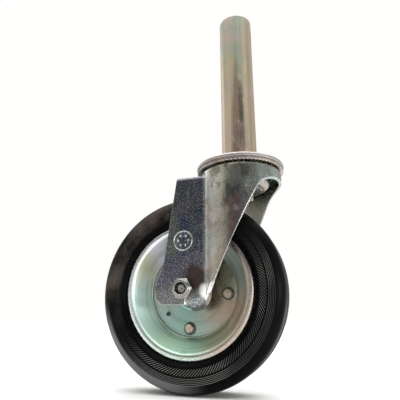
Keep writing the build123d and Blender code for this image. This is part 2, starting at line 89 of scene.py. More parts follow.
class Shader:
    """A material's node tree, with one short method for each kind of node used below."""

    def __init__(self, name, tree=None):
        if tree is None:
            self.material = bpy.data.materials.new(name)
            self.material.use_nodes = True
            tree = self.material.node_tree
        self.tree = tree
        self.tree.nodes.clear()

    def node(self, kind, inputs=None, **settings):
        made = self.tree.nodes.new(kind)
        for key, value in settings.items():
            setattr(made, key, value)
        for key, value in (inputs or {}).items():
            self.feed(made.inputs[key], value)
        return made

    def feed(self, socket, value):
        if isinstance(value, bpy.types.NodeSocket):
            self.tree.links.new(value, socket)
        elif socket.type == "RGBA":
            socket.default_value = (*value[:3], 1.0)
        else:
            socket.default_value = value

    def place(self):
        """Position in the row frame at rest; it rides with the piece."""
        return self.node("ShaderNodeTexCoord").outputs["Object"]

    def facing_y(self):
        """The surface normal's part along Y, in the row frame at rest."""
        return self.split(self.node("ShaderNodeTexCoord").outputs["Normal"])[1]

    def split(self, vector):
        made = self.node("ShaderNodeSeparateXYZ", {"Vector": vector})
        return made.outputs["X"], made.outputs["Y"], made.outputs["Z"]

    def join(self, x, y, z):
        return self.node("ShaderNodeCombineXYZ", {"X": x, "Y": y, "Z": z}).outputs[0]

    def math(self, operation, a, b=0.0, clamp=False):
        made = self.node("ShaderNodeMath", {0: a, 1: b}, operation=operation, use_clamp=clamp)
        return made.outputs[0]

    def plus(self, a, b, clamp=False):
        return self.math("ADD", a, b, clamp)

    def minus(self, a, b):
        return self.math("SUBTRACT", a, b)

    def times(self, a, b):
        return self.math("MULTIPLY", a, b)

    def scaled(self, vector, size):
        return self.node(
            "ShaderNodeVectorMath", {0: vector, 1: size}, operation="MULTIPLY"
        ).outputs[0]

    def moved(self, vector, by):
        return self.node("ShaderNodeVectorMath", {0: vector, 1: by}, operation="ADD").outputs[0]

    def noise(self, vector, scale, detail=3.0, roughness=0.55, distortion=0.0):
        return self.node(
            "ShaderNodeTexNoise",
            {"Vector": vector, "Scale": scale, "Detail": detail, "Roughness": roughness,
             "Distortion": distortion},
        ).outputs["Fac"]

    def step(self, value, low, high, to_low=0.0, to_high=1.0):
        """Smooth step of value from low to high."""
        made = self.node(
            "ShaderNodeMapRange",
            {"Value": value, "From Min": low, "From Max": high, "To Min": to_low, "To Max": to_high},
            interpolation_type="SMOOTHSTEP",
        )
        return made.outputs["Result"]

    def band(self, value, middle, half, soft):
        """1 where value is within half of middle, fading to 0 over soft."""
        off = self.math("ABSOLUTE", self.minus(value, middle))
        return self.step(off, half + soft, half)

    def ramp(self, value, stops):
        made = self.node("ShaderNodeValToRGB", {"Fac": value})
        elements = made.color_ramp.elements
        while len(elements) < len(stops):
            elements.new(0.5)
        for element, (position, colour) in zip(elements, stops):
            element.position = position
            element.color = (*colour, 1.0)
        return made.outputs["Color"]

    def mix(self, amount, a, b):
        made = self.node("ShaderNodeMix", data_type="RGBA")
        self.feed(made.inputs["Factor"], amount)
        self.feed(made.inputs[6], a)
        self.feed(made.inputs[7], b)
        return made.outputs[2]

    def coat(self, colour, mask, amount, tint):
        """colour, covered by tint to the given amount where mask is 1."""
        return self.mix(self.times(mask, amount), colour, tint)

    def bump(self, height, distance, strength=1.0, normal=None):
        inputs = {"Height": height, "Distance": distance, "Strength": strength}
        if normal is not None:
            inputs["Normal"] = normal
        return self.node("ShaderNodeBump", inputs).outputs["Normal"]

    def finish(self, **inputs):
        named = {key.replace("_", " "): value for key, value in inputs.items()}
        shader = self.node("ShaderNodeBsdfPrincipled", named)
        output = self.node("ShaderNodeOutputMaterial")
        self.tree.links.new(shader.outputs["BSDF"], output.inputs["Surface"])
        return self.material


# Shared ingredients of the finishes

PASSIVATE = [
    (0.00, (0.58, 0.50, 0.36)),
    (0.20, (0.62, 0.47, 0.44)),
    (0.40, (0.50, 0.45, 0.56)),
    (0.60, (0.42, 0.53, 0.58)),
    (0.80, (0.48, 0.58, 0.44)),
    (1.00, (0.60, 0.55, 0.38)),
]
# Pale of worn edges, also used as painted highlight
WEAR_AND_HIGHLIGHT_PALE = (0.98, 0.97, 0.93)
PALE_MARK = (0.85, 0.85, 0.83)


def blotches(s, place, scale, low, high, detail=3.0, roughness=0.55):
    """Soft-edged blotches: 0 where the noise is under low, 1 where it is over high."""
    return s.step(s.noise(place, scale, detail, roughness), low, high)


def wavy(s, value, place, scale, amount):
    """value, raised unevenly by up to the given amount."""
    return s.plus(value, s.times(s.noise(place, scale), amount))


def passivate_tint(s, place, scale, seed):
    """Thin-film colours drifting over the surface, as on passivated zinc."""
    drift = s.noise(s.moved(place, (seed, 0.0, 0.0)), scale, detail=2.5, roughness=0.5, distortion=0.6)
    return s.ramp(s.step(drift, 0.30, 0.70), PASSIVATE)


def spangle(s, place, scale):
    """Fine irregular crystals of the zinc coat, 0 to 1."""
    cells = s.node("ShaderNodeTexVoronoi", {"Vector": place, "Scale": scale}).outputs["Color"]
    return s.node("ShaderNodeSeparateColor", {"Color": cells}).outputs["Red"]


def scratches(s, place, stretch, scale):
    """Thin long marks, mostly along one direction, 1 on a mark."""
    return blotches(s, s.scaled(place, stretch), scale, 0.60, 0.72, detail=5.0, roughness=0.65)


def grime(s, place, scale, low=0.52, high=0.75):
    """Dirt in ragged patches, 1 where it lies."""
    return blotches(s, place, scale, low, high, detail=6.0, roughness=0.62)


def rounded_normal(s, radius):
    """The surface normal, with sharp edges rounded to the given radius."""
    return s.node("ShaderNodeBevel", {"Radius": radius}, samples=6).outputs["Normal"]


def worn_and_highlit_edges(s, rounded):
    """1 along the part's edges, where the film has rubbed off and where a highlight is painted."""
    plain = s.node("ShaderNodeNewGeometry").outputs["Normal"]
    turned = s.node("ShaderNodeVectorMath", {0: rounded, 1: plain}, operation="DOT_PRODUCT")
    return s.step(turned.outputs["Value"], 0.985, 0.86)


def about_stem(s, place):
    """Turn about the swivel axis in degrees, from -180 to 180, 0 towards +X."""
    x, y, _ = s.split(place)
    return s.times(s.math("ARCTAN2", y, x), 180 / math.pi)


# Zinc-plated plates, races and fasteners

# Slanted lines on the races: how many radians of phase a degree round the stem and a metre up it add
LINE_PER_DEGREE = 1.25
LINE_PER_METRE = 1900.0
LINE_DARK = (0.10, 0.08, 0.07)
GRAIN_DARK = (0.12, 0.12, 0.13)
ALONG_Z = (1.0, 1.0, 0.15)
EVENLY = (1.0, 1.0, 1.0)
ZINC_FINISHES = {
    "plate_steel": dict(
        base=(0.42, 0.37, 0.33), tint_share=0.20, tint_scale=20.0, seed=2.0, roughness=0.34,
        stretch=EVENLY, grime_colour=(0.16, 0.10, 0.07)),
    "race_steel": dict(
        base=(0.54, 0.46, 0.40), tint_share=0.20, tint_scale=30.0, seed=9.0, roughness=0.26,
        stretch=ALONG_Z, grime_colour=(0.12, 0.08, 0.05), line_share=0.7),
    "fastener_steel": dict(
        base=(0.31, 0.30, 0.27), tint_share=0.15, tint_scale=60.0, seed=6.0, roughness=0.22,
        stretch=EVENLY, grime_colour=(0.07, 0.05, 0.03)),
}


def zinc_material(
    name, base, tint_share, tint_scale, seed, roughness, stretch, grime_colour, line_share=0.0
):
    """Zinc-plated steel: tinted film, spangle, scratches, edges painted bright as wear and as highlight, and a
    little dirt.
    """
    s = Shader(name)
    place = s.place()
    rounded = rounded_normal(s, 0.6 * MM)
    edge = worn_and_highlit_edges(s, rounded)
    colour = s.mix(tint_share, base, passivate_tint(s, place, tint_scale, seed))
    grain = spangle(s, place, 900.0)
    colour = s.coat(colour, grain, 0.30, GRAIN_DARK)
    marks = scratches(s, place, stretch, 60.0)
    colour = s.coat(colour, marks, 0.30, PALE_MARK)
    dirt = grime(s, place, 60.0)
    colour = s.coat(colour, dirt, 0.55, grime_colour)
    # Painted highlight: the edges are lightened, as wear and as the light they catch
    colour = s.coat(colour, edge, 0.90, WEAR_AND_HIGHLIGHT_PALE)
    rough = s.plus(roughness, s.plus(s.times(dirt, 0.25), s.times(grain, 0.08)), clamp=True)
    fine = s.plus(s.times(grain, 0.5), s.times(marks, -0.8))
    fine = s.plus(fine, s.noise(place, 420.0))
    normal = s.bump(fine, 0.06 * MM, 0.6, rounded)
    if line_share:
        z = s.split(place)[2]
        phase = s.plus(s.times(about_stem(s, place), LINE_PER_DEGREE), s.times(z, LINE_PER_METRE))
        lines = s.step(s.math("SINE", phase), -0.3, 0.6)
        colour = s.coat(colour, lines, line_share, LINE_DARK)
        normal = s.bump(lines, -0.15 * MM, 0.6, normal)
    return s.finish(Base_Color=colour, Metallic=1.0, Roughness=rough, Normal=normal)


# Stem: the turn of the painted dark reflection band is in degrees about the swivel axis

STRIPE_TURN = -74.0
STEM_FILM = [
    (0.0, (0.64, 0.52, 0.36)),
    (0.45, (0.56, 0.44, 0.31)),
    (0.7, (0.43, 0.38, 0.25)),
    (1.0, (0.34, 0.33, 0.21)),
]
STEM_TEAL = (0.30, 0.40, 0.34)
STEM_PAINTED_REFLECTION = (0.34, 0.22, 0.14)
STEM_DARK_STREAK = (0.08, 0.09, 0.06)
STEM_PAINTED_SHADE = (0.36, 0.27, 0.155)
STEM_BLUSH = (0.60, 0.42, 0.42)
STEM_LINE = (0.20, 0.17, 0.12)
STEM_MARK = (0.78, 0.74, 0.66)
STEM_DIRT = (0.20, 0.15, 0.10)
STEM_EDGE_WEAR_AND_HIGHLIGHT = (0.70, 0.66, 0.56)


def stem_material():
    """Drawn tube: khaki film near the top, tan towards the plate, a painted dark reflection in brown down the nut
    side, and painted shade on the far side.
    """
    s = Shader("stem_steel")
    place = s.place()
    z = s.split(place)[2]
    rounded = rounded_normal(s, 0.5 * MM)
    edge = worn_and_highlit_edges(s, rounded)
    turn = wavy(s, about_stem(s, place), place, 45.0, 8.0)
    height = wavy(s, z, place, 22.0, 50 * MM)
    colour = s.ramp(s.step(height, 20 * MM, 240 * MM), STEM_FILM)
    colour = s.mix(0.22, colour, passivate_tint(s, place, 14.0, 3.0))
    teal = s.times(s.band(turn, STRIPE_TURN + 4.0, 4.0, 12.0), s.step(height, 100 * MM, 170 * MM))
    colour = s.coat(colour, teal, 0.55, STEM_TEAL)
    stripe_half = s.step(height, 190 * MM, 30 * MM, 1.0, 24.0)
    off = s.math("ABSOLUTE", s.minus(turn, STRIPE_TURN - 4.0))
    # Painted reflection: a dark brown band down the side facing the nut, widening lower down
    dark_reflection = s.times(s.step(s.minus(off, stripe_half), 4.0, -4.0), s.step(height, 170 * MM, 130 * MM))
    colour = s.coat(colour, dark_reflection, 0.50, STEM_PAINTED_REFLECTION)
    # A dark olive streak right of the reflection band, part way up the tube
    dark_streak = s.times(s.band(turn, STRIPE_TURN + 10.0, 4.0, 7.0), s.band(height, 88 * MM, 18 * MM, 35 * MM))
    colour = s.coat(colour, dark_streak, 0.75, STEM_DARK_STREAK)
    # Painted shade: the far side of the tube is darkened to tan
    shaded_side = s.step(turn, STRIPE_TURN + 26.0, STRIPE_TURN + 44.0)
    colour = s.coat(colour, shaded_side, 0.55, STEM_PAINTED_SHADE)
    blush = blotches(s, s.moved(place, (0.0, 4.0, 0.0)), 36.0, 0.50, 0.66)
    colour = s.coat(colour, blush, 0.30, STEM_BLUSH)
    lines = s.noise(s.scaled(place, (1.0, 1.0, 0.02)), 700.0)
    colour = s.mix(s.step(lines, 0.45, 0.75, 0.0, 0.35), colour, STEM_LINE)
    marks = scratches(s, place, (1.0, 1.0, 0.12), 130.0)
    colour = s.coat(colour, marks, 0.25, STEM_MARK)
    dirt = grime(s, place, 70.0, 0.52, 0.74)
    colour = s.coat(colour, dirt, 0.35, STEM_DIRT)
    # Painted highlight: the tube's edges are lightened, as wear and as the light they catch
    colour = s.coat(colour, edge, 0.5, STEM_EDGE_WEAR_AND_HIGHLIGHT)
    rough = s.plus(0.30, s.times(dirt, 0.20), clamp=True)
    normal = s.bump(s.plus(lines, s.times(marks, -0.7)), 0.025 * MM, 0.5, rounded)
    return s.finish(Base_Color=colour, Metallic=1.0, Roughness=rough, Normal=normal)


# Fork

PANEL_BLUE = (0.043, 0.068, 0.120)
PANEL_GREY = (0.105, 0.107, 0.115)
PANEL_TOP = (0.10, 0.10, 0.10)
PANEL_OLIVE = (0.25, 0.26, 0.17)
PANEL_MAUVE = (0.150, 0.120, 0.150)
PANEL_FOOT = (0.26, 0.28, 0.23)
FRONT_FILM_AND_HIGHLIGHT = [
    (0.0, (0.80, 0.84, 0.84)),
    (0.16, (0.62, 0.60, 0.50)),
    (0.4, (0.45, 0.38, 0.31)),
    (0.65, (0.30, 0.21, 0.175)),
    (1.0, (0.30, 0.27, 0.27)),
]
CROWN_FILM_AND_HIGHLIGHT = [
    (0.0, (1.0, 1.0, 0.90)),
    (0.22, (0.70, 0.71, 0.58)),
    (0.6, (0.48, 0.48, 0.38)),
    (1.0, (0.22, 0.28, 0.26)),
]
FRONT_RUST = (0.50, 0.27, 0.12)
FRONT_MOTTLE = (0.085, 0.070, 0.055)
FAR_LEG_TOP = (0.32, 0.36, 0.25)
FAR_LEG_PAINTED_LIGHT = (0.98, 0.93, 0.76)
BEND_PAINTED_SHADE = (0.05, 0.05, 0.06)
LIGHT_SPECK = (0.50, 0.58, 0.74)
DARK_SPECK = (0.025, 0.027, 0.035)
OIL_STAIN = (0.045, 0.030, 0.014)
FORK_MARK = (0.82, 0.82, 0.80)
FORK_DIRT = (0.14, 0.10, 0.07)


def ragged_spot(s, place, centre, size, raggedness):
    """1 inside an uneven round spot, with centre and sizes in metres."""
    away = s.node("ShaderNodeVectorMath", {0: place, 1: centre}, operation="DISTANCE").outputs["Value"]
    uneven = s.minus(s.noise(place, 170.0, 4.0), 0.5)
    return s.step(s.plus(away, s.times(uneven, raggedness)), size, size * 0.45)


def panel_colour(s, place, x, z):
    """Flat leg: dark blue film, grey near the top, olive at the rear, mauve lower down, pale foot."""
    patches = blotches(s, s.moved(place, (7.0, 0.0, 0.0)), 34.0, 0.42, 0.60, detail=4.0)
    colour = s.mix(patches, PANEL_BLUE, PANEL_GREY)
    level = wavy(s, z, place, 50.0, 30 * MM)
    colour = s.mix(s.step(level, -48 * MM, -26 * MM, 0.0, 0.7), colour, PANEL_TOP)
    rear = s.times(s.step(x, -56 * MM, -68 * MM), s.band(z, -80 * MM, 16 * MM, 16 * MM))
    colour = s.coat(colour, rear, 0.6, PANEL_OLIVE)
    colour = s.mix(s.step(level, -74 * MM, -104 * MM, 0.0, 0.70), colour, PANEL_MAUVE)
    return s.mix(s.step(level, -112 * MM, -128 * MM, 0.0, 0.60), colour, PANEL_FOOT)


def front_colour(s, place, x, z):
    """Rounded fronts and crown: film tints with a painted highlight, pale by the bend, browner forward, olive
    above, with dark mottling.
    """
    drift = s.times(s.minus(s.noise(place, 40.0, 4.0), 0.5), 30 * MM)
    forward = s.plus(x, drift)
    # Film tints, with a painted highlight at the pale end by the bend, fading forward
    colour = s.ramp(s.step(forward, -34 * MM, 24 * MM), FRONT_FILM_AND_HIGHLIGHT)
    rust = blotches(s, s.moved(place, (0.0, 0.0, 9.0)), 48.0, 0.54, 0.66, detail=4.0)
    colour = s.coat(colour, rust, 0.45, FRONT_RUST)
    crown = s.step(s.plus(z, drift), -54 * MM, -24 * MM)
    # Crown film, near white at its rear end as a painted highlight
    colour = s.coat(colour, crown, 0.85, s.ramp(s.step(forward, -40 * MM, 40 * MM), CROWN_FILM_AND_HIGHLIGHT))
    mottle = blotches(s, s.scaled(place, (1.0, 1.0, 0.7)), 75.0, 0.48, 0.60, detail=6.0, roughness=0.66)
    mottle = s.times(mottle, s.band(x, -2 * MM, 16 * MM, 22 * MM))
    mottle = s.times(mottle, s.step(z, -80 * MM, -40 * MM, 0.3, 1.0))
    return s.coat(colour, mottle, 0.74, FRONT_MOTTLE)


def far_leg_colour_and_light(s, place, z):
    """Inner face of the far leg: olive above, and painted light in pale cream below, where the face lies in shade.
    """
    fade = s.step(wavy(s, z, place, 40.0, 30 * MM), -10 * MM, -50 * MM)
    return s.mix(fade, FAR_LEG_TOP, FAR_LEG_PAINTED_LIGHT)


def fork_material():
    """Pressed sheet: dark speckled legs, tan fronts, mottled crown, oil by the nut, with painted highlights on the
    edges and the toe.
    """
    s = Shader("fork_steel")
    place = s.place()
    x, y, z = s.split(place)
    rounded = rounded_normal(s, 0.9 * MM)
    edge = worn_and_highlit_edges(s, rounded)
    flat = s.step(x, BEND_X + 1.5 * MM, BEND_X - 1.5 * MM)
    colour = s.mix(flat, front_colour(s, place, x, z), panel_colour(s, place, x, z))
    inner_far = s.times(s.step(y, 4 * MM, 12 * MM), s.step(s.facing_y(), 0.1, -0.3))
    # Painted light: the inner face of the far leg, paler low down
    colour = s.coat(colour, inner_far, 0.8, far_leg_colour_and_light(s, place, z))
    film = s.minus(0.17, s.times(flat, 0.13))
    colour = s.mix(film, colour, passivate_tint(s, place, 26.0, 11.0))
    # Painted shade: a dark line in the crease where the flat turns into the front
    bend = s.band(x, BEND_X + 0.6 * MM, 0.5 * MM, 0.7 * MM)
    bend = s.times(bend, s.step(z, -122 * MM, -108 * MM))
    colour = s.coat(colour, bend, 0.6, BEND_PAINTED_SHADE)
    speckle = s.noise(place, 640.0, detail=2.0, roughness=0.75)
    speckle_share = s.plus(s.times(flat, 0.40), 0.30)
    colour = s.coat(colour, s.step(speckle, 0.53, 0.66), speckle_share, LIGHT_SPECK)
    colour = s.coat(colour, s.step(speckle, 0.48, 0.36), speckle_share, DARK_SPECK)
    stain = ragged_spot(s, place, (AXLE.x + 12 * MM, LEG_Y, AXLE.z + 10 * MM), 19 * MM, 13 * MM)
    colour = s.coat(colour, stain, 0.88, OIL_STAIN)
    # Painted highlight: a bright spot on the toe's bulge
    toe_highlight = ragged_spot(s, place, (AXLE.x + 23 * MM, LEG_Y - 2 * MM, AXLE.z - 2 * MM), 9 * MM, 3 * MM)
    colour = s.coat(colour, toe_highlight, 0.9, WEAR_AND_HIGHLIGHT_PALE)
    marks = scratches(s, place, (1.0, 1.0, 0.25), 90.0)
    colour = s.coat(colour, marks, 0.30, FORK_MARK)
    dirt = grime(s, place, 60.0)
    colour = s.coat(colour, dirt, 0.28, FORK_DIRT)
    # Painted highlight: the edges are lightened, as wear and as the light they catch
    colour = s.coat(colour, edge, 0.85, WEAR_AND_HIGHLIGHT_PALE)
    rough = s.plus(s.times(flat, 0.08), 0.22)
    rough = s.plus(rough, s.times(dirt, 0.20))
    rough = s.plus(rough, s.times(stain, 0.15), clamp=True)
    dents = s.bump(s.noise(place, 28.0, 2.0), 0.6 * MM, 0.30, rounded)
    normal = s.bump(s.plus(speckle, s.times(marks, -0.6)), 0.10 * MM, 0.7, dents)
    dulled = s.times(inner_far, s.step(z, -16 * MM, -40 * MM))
    metallic = s.minus(1.0, s.times(dulled, 0.6))
    return s.finish(Base_Color=colour, Metallic=metallic, Roughness=rough, Normal=normal)


# Discs and rivets: the tints go round the axle, 0 at the rear, 0.25 at the floor and 0.5 at the front. Near white
# at the rear is a painted highlight.

WALL_TINTS_AND_HIGHLIGHT = [
    (0.00, (0.84, 1.00, 0.97)),
    (0.08, (0.68, 0.92, 0.84)),
    (0.17, (0.56, 0.76, 0.58)),
    (0.26, (0.42, 0.66, 0.52)),
    (0.34, (0.74, 0.72, 0.52)),
    (0.42, (0.88, 0.74, 0.60)),
    (0.50, (0.86, 0.88, 0.82)),
    (0.58, (0.66, 0.80, 0.78)),
    (0.66, (0.50, 0.56, 0.42)),
    (0.78, (0.66, 0.72, 0.68)),
    (0.87, (0.92, 0.84, 1.00)),
    (0.94, (0.64, 0.62, 0.44)),
    (1.00, (0.84, 1.00, 0.97)),
]
FLANGE_TINTS_AND_HIGHLIGHT = [
    (0.00, (0.94, 1.00, 1.00)),
    (0.12, (0.80, 0.94, 0.88)),
    (0.25, (0.58, 0.72, 0.62)),
    (0.34, (0.50, 0.44, 0.35)),
    (0.48, (0.44, 0.35, 0.31)),
    (0.60, (0.42, 0.37, 0.34)),
    (0.75, (0.78, 0.80, 0.86)),
    (0.88, (0.92, 0.92, 1.00)),
    (1.00, (0.94, 1.00, 1.00)),
]
MIDDLE_TINTS = [
    (0.00, (0.38, 0.47, 0.42)),
    (0.22, (0.20, 0.37, 0.32)),
    (0.40, (0.36, 0.27, 0.20)),
    (0.60, (0.25, 0.28, 0.19)),
    (0.80, (0.40, 0.42, 0.42)),
    (1.00, (0.38, 0.47, 0.42)),
]
RING_DARK = (0.26, 0.27, 0.24)
BROAD_RING_DARK = (0.16, 0.17, 0.14)
STEP_PAINTED_SHADOW = (0.08, 0.09, 0.08)
STEP_PAINTED_HIGHLIGHT = (0.92, 0.93, 0.92)
RIVET_PAINTED_SHADE = (0.04, 0.04, 0.035)
PIT_BROWN = (0.28, 0.22, 0.19)
DISC_DIRT = (0.22, 0.18, 0.11)
VENT_PAINTED_SHADE = (0.03, 0.03, 0.03)
RIVET_DARK = (0.34, 0.27, 0.21)
RIVET_LIGHT = (0.48, 0.41, 0.34)
RIVET_FOOT_SHADE = (0.05, 0.05, 0.04)


def polar(s, place):
    """Radius and turn (0 to 1) about the axle."""
    x, _, z = s.split(s.moved(place, tuple(-AXLE)))
    radius = s.math("SQRT", s.plus(s.times(x, x), s.times(z, z)))
    turn = s.plus(s.times(s.math("ARCTAN2", z, x), 0.5 / math.pi), 0.5)
    return radius, turn


def ring_noise(s, radius, turn, across, along, detail):
    """Noise drawn out round the axle, with no break where the turn starts again."""
    angle = s.times(turn, 2 * math.pi)
    side = s.times(s.math("COSINE", angle), along)
    up = s.times(s.math("SINE", angle), along)
    return s.noise(s.join(s.times(radius, across), side, up), 1.0, detail)


def from_rivet(s, radius, turn):
    """Distance from the middle of the nearest rivet."""
    offset = 0.5 - RIVET_START * RIVET_COUNT / 360
    share = s.math("FRACT", s.plus(s.times(turn, float(RIVET_COUNT)), offset))
    aside = s.times(s.minus(share, 0.5), RIVET_RING_R * 2 * math.pi / RIVET_COUNT)
    outward = s.minus(radius, RIVET_RING_R)
    return s.math("SQRT", s.plus(s.times(aside, aside), s.times(outward, outward)))


def rivet_material():
    """Browned rivet heads, with painted shade on their feet."""
    s = Shader("rivet_steel")
    place = s.place()
    rounded = rounded_normal(s, 0.4 * MM)
    radius, turn = polar(s, place)
    colour = s.mix(blotches(s, place, 260.0, 0.40, 0.62), RIVET_DARK, RIVET_LIGHT)
    # Painted shade: the rivet's foot, outside the head, darkened
    foot = s.step(from_rivet(s, radius, turn), RIVET_HEAD_R + 0.05 * MM, RIVET_HEAD_R + 0.3 * MM)
    colour = s.coat(colour, foot, 0.85, RIVET_FOOT_SHADE)
    rough = s.plus(0.30, s.times(foot, 0.20))
    normal = s.bump(s.noise(place, 500.0), 0.05 * MM, 0.5, rounded)
    return s.finish(Base_Color=colour, Metallic=1.0, Roughness=rough, Normal=normal)


def disc_material():
    """Bright zinc with an iridescent film that changes colour round the disc, a painted highlight near white at
    the rear, and fine pressing rings.
    """
    s = Shader("disc_zinc")
    place = s.place()
    y = s.split(place)[1]
    rounded = rounded_normal(s, 0.5 * MM)
    edge = worn_and_highlit_edges(s, rounded)
    radius, turn = polar(s, place)
    wander = s.times(s.minus(s.noise(place, 16.0), 0.5), 0.14)
    round_disc = s.math("FRACT", s.plus(s.plus(turn, wander), 1.0))
    flange = s.step(radius, FLANGE_INNER_R - 1.5 * MM, FLANGE_INNER_R + 1.5 * MM)
    # Film tints round the disc, with a painted highlight near white at the rear
    colour = s.mix(flange, s.ramp(round_disc, WALL_TINTS_AND_HIGHLIGHT), s.ramp(round_disc, FLANGE_TINTS_AND_HIGHLIGHT))
    middle = s.step(radius, DISC_FLAT_R + 0.4 * MM, DISC_FLAT_R - 0.4 * MM)
    colour = s.mix(middle, colour, s.ramp(round_disc, MIDDLE_TINTS))
    colour = s.mix(0.10, colour, passivate_tint(s, place, 24.0, 5.0))
    rings = ring_noise(s, radius, turn, 900.0, 0.5, 3.0)
    colour = s.mix(s.step(rings, 0.52, 0.72, 0.0, 0.22), colour, RING_DARK)
    broad = ring_noise(s, radius, turn, 260.0, 0.35, 2.0)
    colour = s.mix(s.step(broad, 0.46, 0.62, 0.0, 0.30), colour, BROAD_RING_DARK)
    # Painted shadow: a dark line beside the step where the dish sheet ends
    step_shadow = s.band(radius, DISC_FLAT_R + 0.2 * MM, 0.35 * MM, 0.4 * MM)
    colour = s.coat(colour, step_shadow, 0.65, STEP_PAINTED_SHADOW)
    # Painted highlight: a bright line on the step's edge
    step_highlight = s.band(radius, DISC_FLAT_R + 1.6 * MM, 0.3 * MM, 0.6 * MM)
    colour = s.coat(colour, step_highlight, 0.45, STEP_PAINTED_HIGHLIGHT)
    # Painted shade: a dark ring on the disc round each rivet's foot
    rivet_shade = s.band(from_rivet(s, radius, turn), RIVET_SHADE_R, 0.5 * MM, 0.6 * MM)
    colour = s.coat(colour, rivet_shade, 0.8, RIVET_PAINTED_SHADE)
    pits = s.times(blotches(s, place, 330.0, 0.56, 0.66), flange)
    colour = s.coat(colour, pits, 0.35, PIT_BROWN)
    dirt = s.times(grime(s, place, 48.0, 0.56, 0.74), 0.24)
    colour = s.mix(dirt, colour, DISC_DIRT)
    # Painted shade: the disc's hollow middle, seen through the vent, darkened
    inside = s.step(s.math("ABSOLUTE", y), 1.7 * MM, 0.9 * MM)
    inside = s.times(inside, s.step(radius, 45 * MM, 43 * MM))
    colour = s.coat(colour, inside, 0.9, VENT_PAINTED_SHADE)
    # Painted highlight: the disc's edges are lightened a little, as wear and as the light they catch
    colour = s.coat(colour, edge, 0.10, WEAR_AND_HIGHLIGHT_PALE)
    wall = s.band(radius, DISC_FLAT_R + 9 * MM, 6 * MM, 3 * MM)
    rough = s.plus(s.plus(0.27, s.times(wall, 0.18)), s.times(pits, 0.12))
    rough = s.plus(rough, dirt, clamp=True)
    dents = s.bump(s.noise(place, 30.0, 2.0), 0.5 * MM, 0.25, rounded)
    normal = s.bump(s.plus(rings, s.times(pits, -1.0)), 0.03 * MM, 0.5, dents)
    return s.finish(Base_Color=colour, Metallic=1.0, Roughness=rough, Normal=normal)


# Rubber, nylon, bearing steel and weld

RUBBER_BLACK = (0.0015, 0.0015, 0.0018)
RUBBER_DUST = (0.085, 0.070, 0.058)
RUBBER_PAINTED_SHEEN = (0.24, 0.24, 0.25)
RUBBER_SCUFF = (0.16, 0.15, 0.14)
RUBBER_CREST_HIGHLIGHT = (0.40, 0.39, 0.37)
NYLON_BLACK = (0.012, 0.012, 0.013)
NYLON_GREASE = (0.060, 0.050, 0.035)
STEEL_BRIGHT = (0.74, 0.74, 0.75)
STEEL_GREASE = (0.42, 0.34, 0.20)
WELD_HEAT = [(0.35, (0.22, 0.18, 0.16)), (0.5, (0.36, 0.30, 0.22)), (0.65, (0.24, 0.27, 0.36))]


def side_crests(s, radius, turn):
    """1 on the tops of the sidewall's slanted ribs and rings, where highlights are painted pale."""
    slant = s.times(s.minus(radius, RIB_RING_R), RIB_SLANT / RIB_RING_R)
    phase = s.plus(s.times(turn, 2 * math.pi), slant)
    ribs = s.step(s.math("COSINE", s.times(phase, float(RIB_COUNT))), 0.1, 1.0)
    ribs = s.times(ribs, s.band(radius, RIB_RING_R, 3.0 * MM, 0.4 * MM))
    ring_phase = s.times(s.minus(radius, RING_START_R), 2 * math.pi / RING_PITCH)
    rings = s.step(s.math("COSINE", ring_phase), 0.2, 1.0)
    rings = s.times(rings, s.band(radius, RING_MIDDLE_R, 3.2 * MM, 0.4 * MM))
    return s.math("MAXIMUM", ribs, rings)


def tread_crests(s, y, radius, turn):
    """1 on the crests of the tread's fine hatch."""
    phase = s.times(turn, 2 * math.pi * RIB_COUNT)
    hatch = s.math("COSINE", s.plus(phase, s.math("DIVIDE", y, HATCH_RADIAN)))
    return s.times(s.step(hatch, 0.2, 1.0), s.step(radius, TYRE_R - 1.2 * MM, TYRE_R - 0.6 * MM))


def rubber_material():
    """Black rubber: dust on the upper rear, a painted sheen on the lower rear shoulder, painted highlights on the
    crests.
    """
    s = Shader("tyre_rubber")
    place = s.place()
    y = s.split(place)[1]
    radius, turn = polar(s, place)
    cloud = blotches(s, place, 26.0, 0.40, 0.66, detail=5.0, roughness=0.62)
    side = s.step(radius, TYRE_R - 27 * MM, TYRE_R - 20 * MM)
    rear = s.band(s.math("FRACT", s.plus(turn, 0.64)), 0.5, 0.10, 0.14)
    dust = s.times(s.times(cloud, side), s.plus(s.times(rear, 0.70), 0.02))
    colour = s.mix(dust, RUBBER_BLACK, RUBBER_DUST)
    shoulder = s.band(radius, TYRE_R - 6 * MM, 2.5 * MM, 3 * MM)
    # Painted sheen: a pale band along the lower rear shoulder
    shoulder_sheen = s.times(s.band(turn, 0.15, 0.06, 0.08), shoulder)
    colour = s.coat(colour, shoulder_sheen, 0.6, RUBBER_PAINTED_SHEEN)
    scuff = s.step(ring_noise(s, radius, turn, 600.0, 6.4, 4.0), 0.58, 0.72)
    colour = s.coat(colour, scuff, 0.015, RUBBER_SCUFF)
    # Painted highlight: pale crests, strongest towards the lower front
    crest_highlight_share = s.step(s.noise(place, 14.0, 2.0), 0.40, 0.60, 0.3, 1.0)
    crest_highlight_share = s.times(crest_highlight_share, s.plus(s.times(s.band(turn, 0.37, 0.17, 0.10), 0.8), 0.2))
    crests = s.math("MAXIMUM", side_crests(s, radius, turn), tread_crests(s, y, radius, turn))
    colour = s.coat(colour, s.times(crests, crest_highlight_share), 0.42, RUBBER_CREST_HIGHLIGHT)
    rough = s.plus(0.30, s.times(dust, 0.45))
    rough = s.plus(rough, s.times(s.noise(place, 300.0), 0.08), clamp=True)
    fine = s.plus(s.noise(place, 900.0), s.times(scuff, -0.6))
    normal = s.bump(fine, 0.05 * MM, 0.45)
    return s.finish(
        Base_Color=colour, Metallic=0.0, Roughness=rough, Normal=normal, Specular_IOR_Level=0.035
    )


